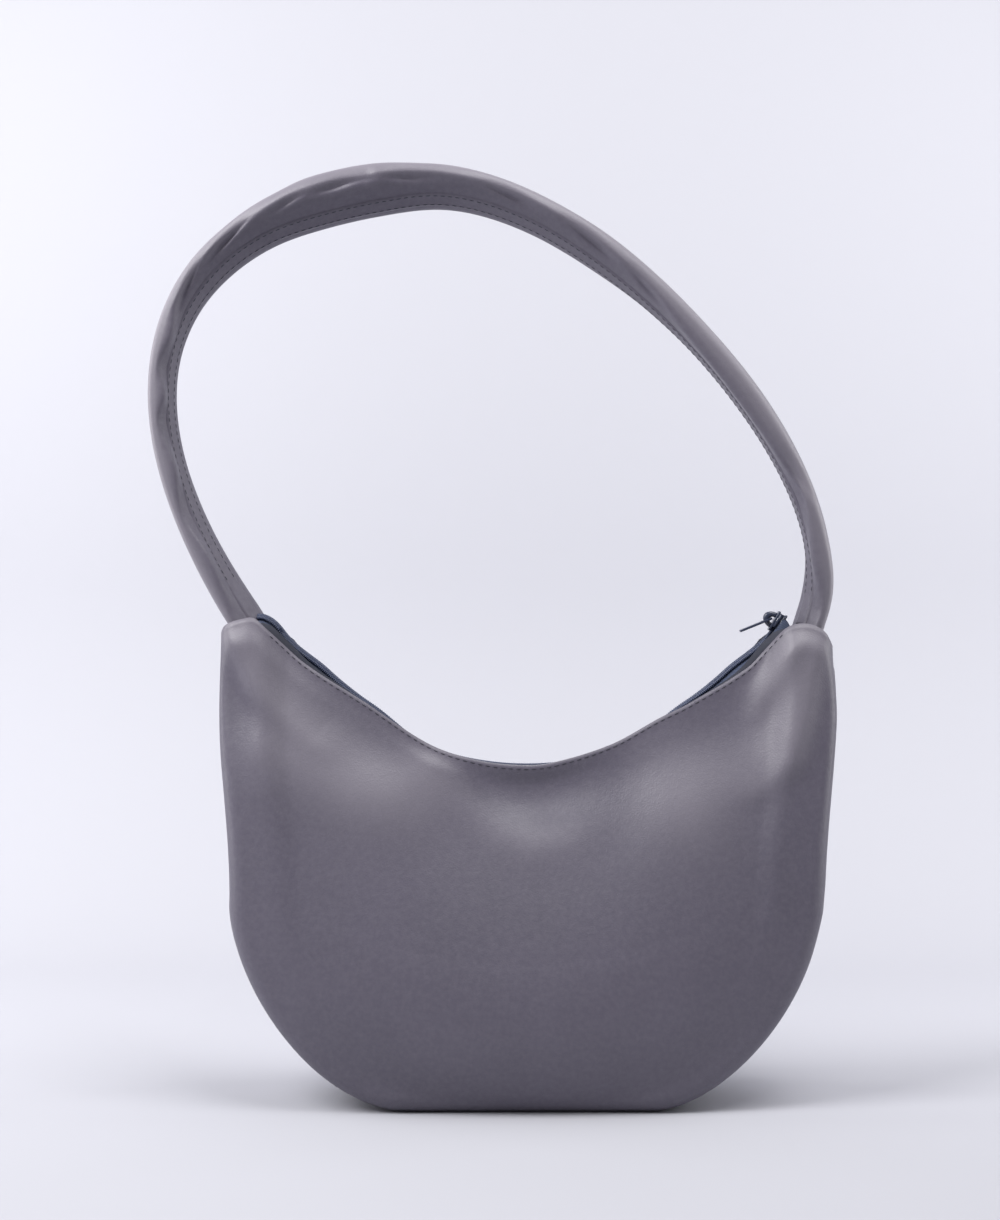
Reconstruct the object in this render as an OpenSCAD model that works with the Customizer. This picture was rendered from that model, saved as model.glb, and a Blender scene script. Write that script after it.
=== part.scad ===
// A soft crescent shoulder bag with a zip along its sagging mouth and one padded strap.
// Millimetres. The base rests on z = 0, the front faces -Y, and the strap leans towards -X.

/* [Bag] */
// Width across the upper corners
bag_width = 364; // [300:1:440]
// Height of the two upper corners above the table
corner_height = 286; // [240:1:340]
// Depth of the bottom between the front and back seams
bottom_depth = 90; // [64:1:130]
// How far the panels swell out past the bottom seams
swell = 16; // [6:1:26]
// How far the middle of the mouth hangs below the corners
mouth_drop = 86; // [64:1:108]
// Thickness of the leather
leather = 2; // [1.2:0.1:2.8]
// Thickness of the cloth lining
lining = 0.7; // [0.4:0.1:1.2]

/* [Strap] */
// Height of the strap's top above its two roots
strap_rise = 254; // [180:1:380]
// Width of the strap at its middle
strap_width = 36; // [28:1:42]
// Width of the strap at its two ends
strap_end_width = 25; // [20:1:28]
// Thickness of the padded strap at its middle
strap_thickness = 23; // [14:0.5:26]
// Thickness of the strap at its two ends
strap_end_thickness = 12.5; // [10:0.5:14]
// How far the top of the strap leans to the left, as a share of half its span
strap_lean = 0.34; // [0:0.02:0.6]
// Turn of the strap's left half, which shows its inner face to the front
strap_roll = 22; // [0:1:30]
// Width of the facing strip on the inner face
facing_width = 14; // [10:0.5:18]

/* [Zip] */
// Width of the slider
slider_width = 9.4; // [8:0.2:12]
// Length of the slider
slider_length = 13; // [10:0.5:16]
// Length of the pull tab from its pin
pull_length = 20; // [16:1:34]

/* [Hidden] */
$fn = 96;
// Film of glue left between two soft layers, and the running gaps of the zip
film = 0.15;
running_gap = 0.4;
pin_gap = 0.05;
// Overlap of two shapes that make one piece
weld = 0.1;

// Side profile: a flat base, a rounded lower corner and a slightly flared side
half_width = bag_width / 2;
base_half = 0.412 * half_width;
waist_half = 0.945 * half_width;
bend_height = 0.427 * corner_height;
bend_power = 1.23;

// Sampling of the soft panels. The last row of each panel is the upright lip of the mouth.
columns = 20;
rows = 14;
lip_start = (rows - 1) / rows;

// Mouth and corners
corner_half = strap_end_width / 2 + leather + lining + 2 * film;
mouth_half = slider_width / 2 + 1.5 + leather + lining;
mouth_low = corner_height - mouth_drop;
lip_end_share = 0.8;
corner_share = 0.9;
edge_cover = 2;
edge_hump = 9;
edge_dip = 1.5;

// The zip lies on a circle in the middle plane. Its ends stop just below the corners.
zip_end_share = 0.83;
zip_end_x = zip_end_share * half_width;
zip_low = mouth_low - 2;
zip_climb = corner_height - 2 - zip_low;
zip_radius = (zip_end_x ^ 2 + zip_climb ^ 2) / (2 * zip_climb);
zip_centre = zip_low + zip_radius;
tape_thick = 0.6;
tape_split = 1;
tape_half = mouth_half - leather - lining - 2 * film;
coil_half = 2.2;
coil_height = 1.9;
coil_split = 0.05;
degrees_per_mm = 180 / (PI * zip_radius);
slider_angle = asin(zip_end_x / zip_radius);
slider_reach = slider_length / 2 * degrees_per_mm;
tape_overrun = 3.2;
left_clearance = 4.5;
stop_gap = 0.2;
tape_angle = slider_angle + tape_overrun;
left_stop_angle = left_clearance - slider_angle;

// Slider and pull
plate_thick = 1.4;
under_thick = 1.2;
post_half = 0.6;
plate_under = zip_radius - coil_height - running_gap;
plate_top = plate_under - plate_thick;
bail_radius = 2;
bail_half = 1.2;
bar_radius = 0.8;
bar_height = plate_top - 0.85 * bail_radius;
bar_x = bar_height * sin(slider_angle);
bar_z = zip_centre - bar_height * cos(slider_angle);
pull_half = 3.5;
pull_thick = 1.4;
pull_droop = 22;

// Strap centre line: one curve up the left to the top, one down the right
root_half = 0.945 * half_width;
root_height = corner_height + 6;
left_swing = 0.65;
left_climb = 0.68;
top_ease_left = 0.67;
top_ease_right = 0.6;
right_swing = 0.16;
right_climb = 0.345;
end_climb = 14;
end_start = end_climb / (3 * strap_rise * left_climb);
end_finish = 2 - end_climb / (3 * strap_rise * right_climb);
strap_steps = 44;
section_power = 0.77;
flat_power = 0.25;
section_flat = 0.75;
section_points = 18;
section_slit = 4;
facing_thick = 1.4;

function clamp01(t) = min(1, max(0, t));
function smooth(t) = clamp01(t) ^ 2 * (3 - 2 * clamp01(t));

// Half width and height of the side seam; inset moves it inwards along its normal
function side_x(v, inset) =
    v <= 0.5
    ? base_half + (waist_half - base_half) * sin(180 * v) ^ bend_power - inset * sin(180 * v)
    : waist_half + (half_width - waist_half) * smooth(2.2 * v - 1.1) - inset;
function side_z(v, inset) =
    v <= 0.5
    ? bend_height * (1 - max(0, cos(180 * v)) ^ bend_power) + inset * cos(180 * v)
    : bend_height + (corner_height - bend_height) * (2 * v - 1);

// Height of the mouth's two edges. Both follow the zip: the back edge just above it, the front
// edge above it in the middle, humped beside that, and below it on the slopes, where the zip shows.
function zip_height(x) = zip_centre - sqrt(zip_radius ^ 2 - min(abs(x), 0.95 * zip_radius) ^ 2);
function mouth_edge(u, above_zip) = min(corner_height, zip_height(u * half_width) + above_zip);
function hump(u) = smooth((abs(u) - 0.22) / 0.2) * (1 - smooth((abs(u) - 0.55) / 0.2));
function front_edge(u) =
    mouth_edge(u, edge_cover + edge_hump * hump(u)
               - (edge_cover + edge_dip) * smooth((abs(u) - 0.35) / 0.3));
function back_edge(u) = mouth_edge(u, 1);

// Half depth of the bag: the gusset's taper, the narrow mouth and the swell of the panels
function mouth_depth(u) =
    mouth_half + (corner_half - mouth_half)
    * smooth((abs(u) - lip_end_share) / (corner_share - lip_end_share));
function taper(v) = min(1, v / lip_start) ^ 2.6;
function half_depth(u, v) =
    (1 - taper(v)) * bottom_depth / 2 + taper(v) * mouth_depth(u)
    + swell * (1 - u ^ 2) * sin(180 * min(1, v / lip_start) ^ 0.8);

// A point of a panel: u runs from side to side, v from the base to the mouth
function panel_point(u, v, inset, edge) =
    [u * side_x(v, inset),
     inset - half_depth(u, v),
     inset + (side_z(v, inset) - inset) * (edge - inset) / (corner_height - inset)];

// A skin swept through rings of points that turn counter-clockwise about the sweep. From its point
// number turn on, a ring runs back along its other side, which is split into triangles alike.
module sweep(rings, turn = 1000) {
    size = len(rings[0]);
    last = (len(rings) - 1) * size;
    sides = [for (s = [0 : len(rings) - 2], k = [0 : size - 1], half = [0, 1])
        let (a = s * size + k, b = s * size + (k + 1) % size)
        k < turn
        ? (half == 0 ? [a, a + size, b + size] : [a, b + size, b])
        : (half == 0 ? [a, a + size, b] : [b, a + size, b + size])];
    ends = [for (k = [0 : size / 2 - 2], half = [0, 1])
        let (m = size - 1 - k)
        half == 0 ? [k, k + 1, m - 1] : [k, m - 1, m]];
    far_ends = [for (t = ends) [last + t[2], last + t[1], last + t[0]]];
    polyhedron([for (ring = rings) each ring], concat(sides, ends, far_ends));
}

module panel_shell(outer, inner, is_front) {
    sweep([for (i = [0 : columns])
        let (u = 2 * i / columns - 1, edge = is_front ? front_edge(u) : back_edge(u))
        concat([for (j = [0 : rows]) panel_point(u, j / rows, inner, edge)],
               [for (j = [rows : -1 : 0]) panel_point(u, j / rows, outer, edge)])], rows + 1);
}

// The strip round the side and the base, between the two panels
function rim_stations() = concat(
    [for (j = [rows : -1 : 1]) [-1, j / rows]],
    [for (i = [0 : columns]) [2 * i / columns - 1, 0]],
    [for (j = [1 : rows]) [1, j / rows]]);
function rim_ring(u, v, outer, inner) =
    let (a = panel_point(u, v, outer, corner_height), b = panel_point(u, v, inner, corner_height))
    [[a.x, a.y + film, a.z], [a.x, -a.y - film, a.z],
     [b.x, -b.y - film, b.z], [b.x, b.y + film, b.z]];
module rim_shell(outer, inner) {
    sweep([for (s = rim_stations()) rim_ring(s[0], s[1], outer, inner)], 2);
}

module front_panel() {
    color([0.43, 0.42, 0.47]) panel_shell(0, leather, true);
}

module back_panel() {
    color([0.43, 0.42, 0.47]) mirror([0, 1, 0]) panel_shell(0, leather, false);
}

module gusset() {
    color([0.40, 0.39, 0.44]) rim_shell(0, leather);
}

module front_lining() {
    color([0.22, 0.23, 0.28]) panel_shell(leather + film, leather + film + lining, true);
}

module back_lining() {
    color([0.22, 0.23, 0.28])
    mirror([0, 1, 0]) panel_shell(leather + film, leather + film + lining, false);
}

module gusset_lining() {
    color([0.22, 0.23, 0.28]) rim_shell(leather + film, leather + film + lining);
}

// A stiff board with rounded corners that keeps the base flat
module base_board() {
    board_thick = 2;
    corner = 8;
    end_margin = 6;
    side_margin = 3;
    long = base_half - corner - end_margin;
    wide = bottom_depth / 2 - leather - lining - corner - side_margin;
    color([0.12, 0.12, 0.13])
    translate([0, 0, leather + lining + 2 * film]) linear_extrude(board_thick) {
        square([2 * (long + corner), 2 * wide], center = true);
        square([2 * long, 2 * (wide + corner)], center = true);
        for (sx = [-1, 1], sy = [-1, 1]) translate([sx * long, sy * wide]) circle(corner);
    }
}

// A band of the zip's circle. Angles count from straight down, positive towards +X.
module arc_band(near, far, y_from, y_to, angle_from, angle_to) {
    translate([0, 0, zip_centre]) rotate([90, 0, 0]) rotate([0, 0, angle_from - 90])
    rotate_extrude(angle = angle_to - angle_from)
    translate([near, -y_to]) square([far - near, y_to - y_from]);
}

module zip_tape_front() {
    color([0.33, 0.35, 0.45])
    arc_band(zip_radius, zip_radius + tape_thick, -tape_half, -tape_split, -tape_angle, tape_angle);
}

module zip_tape_back() {
    color([0.33, 0.35, 0.45])
    arc_band(zip_radius, zip_radius + tape_thick, tape_split, tape_half, -tape_angle, tape_angle);
}

module coil(y_from, y_to) {
    color([0.10, 0.12, 0.20])
    arc_band(zip_radius - coil_height, zip_radius, y_from, y_to,
             left_stop_angle - slider_reach, slider_angle + stop_gap);
}

module zip_coil_front() {
    coil(-coil_half, -coil_split);
}

module zip_coil_back() {
    coil(coil_split, coil_half);
}

module zip_top_stops() {
    start = slider_angle + slider_reach + stop_gap;
    length = 0.6;
    inner = tape_split + coil_split;
    color([0.12, 0.14, 0.22]) for (y = [-coil_half, inner])
    arc_band(zip_radius - coil_height, zip_radius, y, y + coil_half - inner, start, start + length);
}

module zip_bottom_stop() {
    end = left_stop_angle - slider_reach - stop_gap;
    length = 0.8;
    color([0.12, 0.14, 0.22])
    arc_band(zip_radius - coil_height, zip_radius, -coil_half, coil_half, end - length, end);
}

// Strap centre line for q from 0 at the left root to 2 at the right root
function bezier(a, b, c, d, t) =
    a * (1 - t) ^ 3 + b * 3 * t * (1 - t) ^ 2 + c * 3 * t ^ 2 * (1 - t) + d * t ^ 3;
function strap_shares(q) =
    q <= 1
    ? bezier([-1, 0], [-1 - left_swing, left_climb], [-strap_lean - top_ease_left, 1],
             [-strap_lean, 1], q)
    : bezier([-strap_lean, 1], [top_ease_right - strap_lean, 1], [1 + right_swing, right_climb],
             [1, 0], q - 1);
function strap_point(q) =
    let (share = strap_shares(q))
    [share[0] * root_half, root_height + share[1] * strap_rise];
function unit2(p) = p / norm(p);
function strap_way(q) =
    unit2(strap_point(min(2, q + 0.005)) - strap_point(max(0, q - 0.005)));

// Section of the strap: domed outside, nearly flat inside, fullest in the middle of the strap
function fullness(q) = smooth((min(q, 2 - q) - 0.2) / 0.65);
function section_half(q) =
    (strap_end_width + (strap_width - strap_end_width) * fullness(q)) / 2;
function section_thick(q) =
    (strap_end_thickness + (strap_thickness - strap_end_thickness) * fullness(q)) / 2;
function section_dome(q, a, inset) =
    cos(a) >= 0
    ? (section_thick(q) - inset) * cos(a) ^ section_power
    : (inset - section_flat * section_thick(q)) * abs(cos(a)) ^ flat_power;
function section(q, a, inset) =
    [section_dome(q, a, inset), (inset - section_half(q)) * sign(sin(a)) * abs(sin(a)) ^ section_power];
function section_angles() =
    [for (k = [0 : section_points - 1])
        180 + section_slit + k * (360 - 2 * section_slit) / (section_points - 1)];

// Places section points at a station of the centre line, rolled about the way of the strap.
// The first value of a section point points away from the loop, the second to the back.
function station(centre, way, roll, points) =
    [for (p = points)
        let (n = p[0] * cos(roll) - p[1] * sin(roll), b = p[0] * sin(roll) + p[1] * cos(roll))
        [centre[0] - way[1] * n, b, centre[1] + way[0] * n]];
function roll_share(q) = smooth(q / 0.3) * (1 - smooth((q - 1) / 0.7));
function strap_station(q, points) =
    station(strap_point(q), strap_way(q), strap_roll * roll_share(q), points);
function strap_stops() =
    [for (k = [0 : strap_steps]) end_start + k * (end_finish - end_start) / strap_steps];

module strap_band() {
    angles = section_angles();
    color([0.43, 0.42, 0.47])
    sweep([for (q = strap_stops()) strap_station(q, concat(
        [for (a = angles) section(q, a, 0)],
        [for (k = [section_points - 1 : -1 : 0]) section(q, angles[k], leather)]))], section_points);
}

module strap_core() {
    color([0.75, 0.72, 0.66])
    sweep([for (q = strap_stops())
        strap_station(q, [for (a = section_angles()) section(q, a, leather + film)])]);
}

module strap_facing() {
    half = facing_width / 2;
    color([0.40, 0.39, 0.45])
    sweep([for (q = strap_stops())
        let (top = -section_flat * section_thick(q) - 2 * film, under = top - facing_thick)
        strap_station(q, [[under, -half], [under, half], [top, half], [top, -half]])]);
}

// The sewn-in end of the strap: upright inside the corner, then along the centre line until just
// short of the band. side is -1 on the left and 1 on the right.
module strap_end(side) {
    sewn_depth = 18;
    reach = 0.96;
    points = [for (a = section_angles()) section(0, a, 0)];
    foot = [[side * root_half, corner_height - sewn_depth], [side * root_half, corner_height]];
    curve = side < 0
        ? [for (k = [1 : 3]) k / 3 * reach * end_start]
        : [for (k = [3 : -1 : 1]) 2 - k / 3 * reach * (2 - end_finish)];
    upright = [for (p = foot) station(p, [0, -side], 0, points)];
    along = [for (q = curve) strap_station(q, [for (a = section_angles()) section(q, a, 0)])];
    color([0.41, 0.40, 0.45])
    sweep(side < 0 ? concat(upright, along) : concat(along, [upright[1], upright[0]]));
}

module strap_end_left() {
    strap_end(-1);
}

module strap_end_right() {
    strap_end(1);
}

// Two plates held together by a post; flanges guide the coil from both sides
module slider_body() {
    half = slider_width / 2;
    from = slider_angle - slider_reach;
    to = slider_angle + slider_reach;
    flange = coil_half + running_gap;
    tape_under = zip_radius + tape_thick + running_gap;
    post_from = slider_angle + 0.22 * slider_reach;
    post_to = slider_angle + 0.8 * slider_reach;
    color([0.10, 0.12, 0.20]) {
        arc_band(plate_top, plate_under, -half, half, from, to);
        arc_band(tape_under, tape_under + under_thick, -half, half, from, to);
        arc_band(plate_under - weld, tape_under + weld, -post_half, post_half, post_from, post_to);
        for (y = [-half, flange])
            arc_band(plate_under - weld, zip_radius - running_gap, y, y + half - flange, from, to);
    }
}

// The loop on top of the slider, with the bore that holds the pull's bar
module slider_bail() {
    foot_reach = 0.9 * bail_radius * degrees_per_mm;
    head_radius = 0.825 * bail_radius;
    bore_radius = bar_radius + pin_gap;
    color([0.10, 0.12, 0.20]) difference() {
        union() {
            arc_band(bar_height, plate_top, -bail_half, bail_half,
                     slider_angle - foot_reach, slider_angle + foot_reach);
            translate([bar_x, 0, bar_z]) rotate([90, 0, 0])
            cylinder(r = head_radius, h = 2 * bail_half, center = true);
        }
        translate([bar_x, 0, bar_z]) rotate([90, 0, 0])
        cylinder(r = bore_radius, h = 4 * bail_half, center = true);
    }
}

// A thin tab with a window at its root; the bar across the window runs through the bail
module pull_tab() {
    window = 3;
    color([0.10, 0.12, 0.20]) translate([bar_x, 0, bar_z]) rotate([0, -pull_droop, 0]) {
        rotate([90, 0, 0]) cylinder(r = bar_radius, h = 2 * pull_half, center = true);
        difference() {
            union() {
                translate([pull_half - pull_length, -pull_half, -pull_thick / 2])
                cube([pull_length - pull_half, 2 * pull_half, pull_thick]);
                translate([pull_half - pull_length, 0, -pull_thick / 2])
                cylinder(r = pull_half, h = pull_thick);
            }
            translate([-window, -bail_half - running_gap, -pull_thick])
            cube([2 * window, 2 * (bail_half + running_gap), 2 * pull_thick]);
        }
    }
}

front_panel();
back_panel();
gusset();
front_lining();
back_lining();
gusset_lining();
base_board();
zip_tape_front();
zip_tape_back();
zip_coil_front();
zip_coil_back();
zip_top_stops();
zip_bottom_stop();
strap_end_left();
strap_end_right();
strap_band();
strap_facing();
strap_core();
slider_body();
slider_bail();
pull_tab();
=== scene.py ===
import math
from functools import cache

import bmesh
import bpy
from mathutils import Matrix, Vector


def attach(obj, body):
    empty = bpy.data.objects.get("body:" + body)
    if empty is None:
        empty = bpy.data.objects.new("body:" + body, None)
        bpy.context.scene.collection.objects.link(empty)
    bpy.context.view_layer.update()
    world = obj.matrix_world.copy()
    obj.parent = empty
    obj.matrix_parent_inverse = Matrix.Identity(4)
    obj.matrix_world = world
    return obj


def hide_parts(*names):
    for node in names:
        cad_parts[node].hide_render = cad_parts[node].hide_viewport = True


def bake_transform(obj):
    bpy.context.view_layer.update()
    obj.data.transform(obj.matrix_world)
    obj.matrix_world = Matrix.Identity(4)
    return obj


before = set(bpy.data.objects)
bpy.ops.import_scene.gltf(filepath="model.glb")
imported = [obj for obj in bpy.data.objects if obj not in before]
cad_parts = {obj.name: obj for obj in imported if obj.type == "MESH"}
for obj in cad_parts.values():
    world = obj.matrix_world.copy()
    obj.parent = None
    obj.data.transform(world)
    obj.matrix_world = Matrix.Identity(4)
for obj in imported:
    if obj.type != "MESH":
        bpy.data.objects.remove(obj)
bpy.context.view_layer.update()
scene = bpy.context.scene
scene.view_settings.view_transform = "Standard"

# Camera
# The photograph was taken level, 1.2 m in front of the bag and from the height of its corners.
camera_data = bpy.data.cameras.new("photo_camera")
camera_data.lens = 59
camera = bpy.data.objects.new("photo_camera", camera_data)
camera.location = (-0.016, -1.2, 0.292)
camera.rotation_euler = (math.radians(90), 0, 0)
scene.collection.objects.link(camera)
scene.camera = camera

# Studio
# A sheet of pale paper runs from the table up the wall in one curve. One soft box stands in front
# at the left, one hangs above at the right, and one on each side lights the wall. The paper is clear
# from behind and below, so that the back and the base can be looked at too.
MM = 0.001
PAPER_FRONT = -2600
PAPER_BEND = 420
PAPER_BEND_RADIUS = 320
PAPER_TOP = 2600
PAPER_HALF = 2600
PAPER_GRID = (8, 160)
PAPER_COLOUR = (0.52, 0.52, 0.565, 1)
BAG_MIDDLE = (0, 0, 0.28)


def shaped_grid(columns, rows, place, pale=None):
    """A grid whose points, from -1 to 1 both ways, go where place says in millimetres.

    pale may say how far each point is painted paler, as a painted highlight, which is stored as its crown."""
    bm = bmesh.new()
    bmesh.ops.create_grid(bm, x_segments=columns, y_segments=rows, size=1, calc_uvs=False)
    crown = bm.verts.layers.float.new("crown")
    for vert in bm.verts:
        a, b = vert.co.x, vert.co.y
        vert[crown] = pale(a, b) if pale else 0
        vert.co = Vector(place(a, b)) * MM
    return bm


def new_object(name, bm, *materials):
    """Turns a bmesh into a smooth-shaded object at the origin."""
    mesh = bpy.data.meshes.new(name)
    bm.to_mesh(mesh)
    bm.free()
    mesh.shade_smooth()
    for material in materials:
        mesh.materials.append(material)
    piece = bpy.data.objects.new(name, mesh)
    scene.collection.objects.link(piece)
    return piece


def add_node(tree, kind, inputs=None, **settings):
    """Adds a shader node. An input is a value, or another node's output to link."""
    node = tree.nodes.new(kind)
    for key, value in settings.items():
        setattr(node, key, value)
    for key, value in (inputs or {}).items():
        if isinstance(value, bpy.types.NodeSocket):
            tree.links.new(value, node.inputs[key])
        else:
            node.inputs[key].default_value = value
    return node


def new_finish(name):
    """An empty material and its node tree."""
    material = bpy.data.materials.new(name)
    material.use_nodes = True
    material.node_tree.nodes.clear()
    return material, material.node_tree


def show(tree, shader):
    """Links a shader to the material's output."""
    add_node(tree, "ShaderNodeOutputMaterial", {"Surface": shader.outputs[0]})


def paper_point(across, along):
    """The paper lies flat, then climbs the wall through a quarter circle."""
    x = across * PAPER_HALF
    flat = PAPER_BEND - PAPER_FRONT
    curve = PAPER_BEND_RADIUS * math.pi / 2
    travel = (along + 1) / 2 * (flat + curve + PAPER_TOP)
    if travel <= flat:
        return x, PAPER_FRONT + travel, 0
    turn = min(math.pi / 2, (travel - flat) / PAPER_BEND_RADIUS)
    rise = max(0, travel - flat - curve)
    y = PAPER_BEND + PAPER_BEND_RADIUS * math.sin(turn)
    return x, y, PAPER_BEND_RADIUS * (1 - math.cos(turn)) + rise


paper_finish, paper_tree = new_finish("studio_paper")
paper_front = add_node(paper_tree, "ShaderNodeBsdfPrincipled", {
    "Base Color": PAPER_COLOUR, "Roughness": 0.9, "Specular IOR Level": 0.1})
paper_back = add_node(paper_tree, "ShaderNodeBsdfTransparent")
paper_side = add_node(paper_tree, "ShaderNodeNewGeometry").outputs["Backfacing"]
show(paper_tree, add_node(paper_tree, "ShaderNodeMixShader", {
    0: paper_side, 1: paper_front.outputs[0], 2: paper_back.outputs[0]}))
paper = new_object("studio_paper", shaped_grid(*PAPER_GRID, paper_point), paper_finish)


def soft_box(name, place, target, wide, tall, power):
    """An area lamp that faces the target."""
    lamp_data = bpy.data.lights.new(name, "AREA")
    lamp_data.shape = "RECTANGLE"
    lamp_data.size = wide
    lamp_data.size_y = tall
    lamp_data.energy = power
    lamp = bpy.data.objects.new(name, lamp_data)
    lamp.location = place
    lamp.rotation_euler = (Vector(target) - Vector(place)).to_track_quat("-Z", "Y").to_euler()
    scene.collection.objects.link(lamp)


soft_box("left_box", (-0.9, -0.6, 1.25), BAG_MIDDLE, wide=0.65, tall=0.9, power=19)
soft_box("right_box", (0.4, -0.45, 1.6), BAG_MIDDLE, wide=0.8, tall=0.8, power=14)
for side in (-1, 1):
    soft_box("wall_box", (side * 0.8, 0.15, 0.6), (side * -0.1, 0.74, 0.4), wide=0.4, tall=1.0, power=4.6)
room = bpy.data.worlds.new("bright_room")
room.use_nodes = True
room.node_tree.nodes["Background"].inputs["Color"].default_value = (0.97, 0.975, 1, 1)
room.node_tree.nodes["Background"].inputs["Strength"].default_value = 0.2
scene.world = room

# Base board
# A stiff dark board with rounded corners lies loose on the bottom of the bag and keeps it flat.
BOARD_DEEP, BOARD_PALE = (0.011, 0.011, 0.013, 1), (0.022, 0.022, 0.024, 1)


def pattern(tree, kind, inputs, **settings):
    """A texture that keeps to the piece's own coordinates, as a value from 0 to 1."""
    place = add_node(tree, "ShaderNodeTexCoord").outputs["Object"]
    return add_node(tree, kind, {"Vector": place, **inputs}, **settings).outputs["Fac"]


def two_tone(tree, value, deep, pale, surface, bump=None):
    """A surface whose colour follows a value. bump may give strength and depth to raise it by."""
    colour = add_node(tree, "ShaderNodeMix", {"Factor": value, "A": deep, "B": pale}, data_type="RGBA")
    inputs = {"Base Color": colour.outputs["Result"], **surface}
    if bump:
        raised = add_node(tree, "ShaderNodeBump", {
            "Height": value, "Strength": bump[0], "Distance": bump[1]})
        inputs["Normal"] = raised.outputs["Normal"]
    show(tree, add_node(tree, "ShaderNodeBsdfPrincipled", inputs))


board_finish, board_tree = new_finish("pressed_board")
board_fibre = pattern(board_tree, "ShaderNodeTexNoise", {"Scale": 420, "Detail": 4, "Roughness": 0.6})
two_tone(board_tree, board_fibre, BOARD_DEEP, BOARD_PALE, {"Roughness": 0.7}, bump=(0.4, 0.0002))
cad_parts["base_board"].data.materials.clear()
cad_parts["base_board"].data.materials.append(board_finish)

# Front and back panel
# Each is one piece of smooth calf leather, 2 mm thick, cut to a crescent. The two are sewn to the
# gusset inside out, so that their edges roll in to the seam, and they sag between the corners.
HALF_WIDTH = 182
CORNER_HEIGHT = 286
BASE_HALF = 0.412 * HALF_WIDTH
WAIST_HALF = 0.945 * HALF_WIDTH
BEND_HEIGHT = 0.427 * CORNER_HEIGHT
BEND_POWER = 1.23
BOTTOM_HALF = 45
SWELL = 16
LEATHER = 2
MOUTH_HALF = 8.9
CORNER_HALF = 15.5
CORNER_FROM, CORNER_EASE = 0.8, 0.1
LIP_START = 13 / 14
LIP_EASE = 0.07
LIP_SHARE = 0.05
TAPER_POWER = 2.6
SWELL_POWER = 0.8
SWELL_SOFT = 0.3
SHOULDER_PACE = 2.2
ZIP_LOW = 198
ZIP_END_X = 0.83 * HALF_WIDTH
ZIP_END_DROP = 2
ZIP_CLIMB = CORNER_HEIGHT - ZIP_END_DROP - ZIP_LOW
ZIP_RADIUS = (ZIP_END_X ** 2 + ZIP_CLIMB ** 2) / (2 * ZIP_CLIMB)
ZIP_CENTRE = ZIP_LOW + ZIP_RADIUS
ZIP_REACH = 0.95 * ZIP_RADIUS
ZIP_RISE = 9
BACK_DROP, BACK_TUCK = 5, 2
BACK_DIP, DIP_FROM, DIP_EASE = 12, 164, 18
LEFT_FULL, RIGHT_FULL = 2.8, 3
BASE_SLOPE = 0.6
LEAN_SHARE = 0.25
RISE_POWER = 0.75
BASE_ROLL, CORNER_ROLL = 12, 7
ROLL_FROM, ROLL_EASE = 0.5, 0.4
ROLL_TURN = 1.9
PANEL_COLUMNS = 176
PANEL_ROWS = 116
ROLL_STEPS = 9
ROLL_COLUMNS = 1 - 2 * ROLL_STEPS / PANEL_COLUMNS
ROLL_ROWS = ROLL_STEPS / PANEL_ROWS
WELD = 1e-6

# Where something sets in, over how long, where it fades again and over how long: the zip's rise, by
# distance from the middle, and the two bulging sides, by share of the height
RISE_SPAN = (55, 40, 120, 32)
LEFT_SPAN = (0, 0.2, 0.75, 0.25)
RIGHT_SPAN = (0.42, 0.15, 0.85, 0.15)

# Height of the front edge from the left corner to the right one, read off the photograph
FRONT_EDGE = (
    (-182, 278), (-180, 282), (-176, 284.6), (-170, 286.4), (-162, 287.4), (-155, 281.5), (-133, 261),
    (-96, 237), (-58, 212.2), (-29, 202.6), (-5, 199.6), (14, 200.8), (50, 212), (79, 227.8), (97, 236.8),
    (131, 257.5), (143, 270), (153, 281), (161, 284), (170, 283), (177, 278.5), (182, 270),
)

LEATHER_DEEP = (0.092, 0.083, 0.115, 1)
LEATHER_PALE = (0.112, 0.101, 0.138, 1)
# Paler colour for random worn specks, and for fold crowns, which are partly wear and partly a painted
# highlight
LEATHER_WORN_AND_HIGHLIT = (0.27, 0.25, 0.29, 1)
CUT_DEEP, CUT_PALE = (0.24, 0.23, 0.26, 1), (0.36, 0.35, 0.38, 1)
# How far each millimetre of a fold's lift pales the leather, as wear and as a painted highlight, and the
# most it may
HIGHLIGHT_AND_WEAR_PER_MM, HIGHLIGHT_AND_WEAR_MOST = 0.09, 0.6


def smooth(t):
    """Climbs from 0 to 1 without a kink at either end."""
    t = min(1.0, max(0.0, t))
    return t * t * (3 - 2 * t)


def plateau(t, start, ease_in, fade, ease_out):
    """Climbs from 0 to 1 and falls back further on."""
    return smooth((t - start) / ease_in) * (1 - smooth((t - fade) / ease_out))


def curve_height(points, at):
    """Height of a smooth curve through points that are given by distance."""
    last = len(points) - 1
    k = 0
    while k < last - 1 and points[k + 1][0] < at:
        k += 1
    slopes = []
    for j in (k, k + 1):
        before = points[max(0, j - 1)]
        after = points[min(last, j + 1)]
        slopes.append((after[1] - before[1]) / (after[0] - before[0]))
    step = points[k + 1][0] - points[k][0]
    t = min(1.0, max(0.0, (at - points[k][0]) / step))
    start, end = points[k][1], points[k + 1][1]
    return ((1 + 2 * t) * (1 - t) ** 2 * start + t * (1 - t) ** 2 * step * slopes[0]
            + t * t * (3 - 2 * t) * end + t * t * (t - 1) * step * slopes[1])


def zip_rise(x):
    """The slack zip stands above its circle halfway up each slope."""
    return ZIP_RISE * plateau(abs(x), *RISE_SPAN)


def zip_height(x):
    reach = min(abs(x), ZIP_REACH)
    return ZIP_CENTRE - math.sqrt(ZIP_RADIUS ** 2 - reach ** 2) + zip_rise(x)


def front_edge(x):
    return curve_height(FRONT_EDGE, x)


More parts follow.
